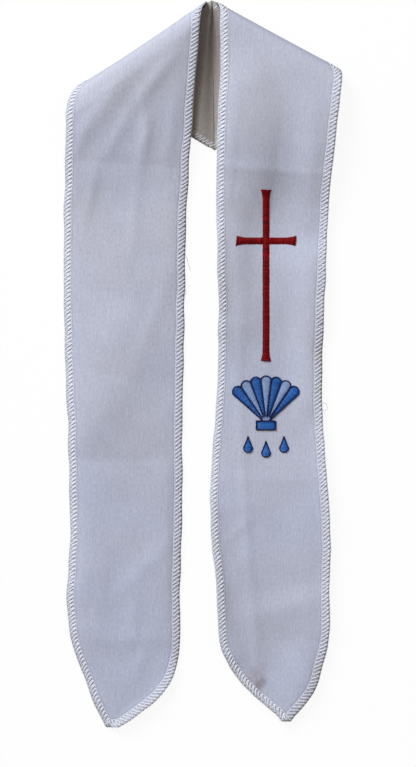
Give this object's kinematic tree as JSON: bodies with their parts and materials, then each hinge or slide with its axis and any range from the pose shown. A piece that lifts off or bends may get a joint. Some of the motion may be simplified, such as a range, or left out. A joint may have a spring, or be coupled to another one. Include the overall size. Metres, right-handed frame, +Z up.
{
  "type": "baptism stole",
  "caption": "White baptism stole laid flat, its pointed fronts folded over at the shoulders, with overlocked edges and a red cross, blue shell and drops embroidered on a front.",
  "frame": {"origin": "middle of the stole's outline, on the surface that it lies on", "axes": "+Y along the fronts towards the neck folds, +X across towards the embroidered front, +Z up from the surface"},
  "size_m": [0.2308, 0.6058, 0.0202],
  "materials": {
    "white_twill": "matte white polyester twill with a faint lilac cast, and white overlock thread along its edges",
    "red_thread": "deep red embroidery thread with a silky sheen, laid in satin stitch",
    "blue_thread": "mid and light blue embroidery thread with a navy outline and a silky sheen, laid in satin stitch"
  },
  "bodies": {
    "root": {"left_half": "white_twill", "right_half": "white_twill", "embroidered_cross": "red_thread", "embroidered_shell": "blue_thread", "embroidered_drop_left": "blue_thread", "embroidered_drop_middle": "blue_thread", "embroidered_drop_right": "blue_thread"}
  },
  "joints": []
}
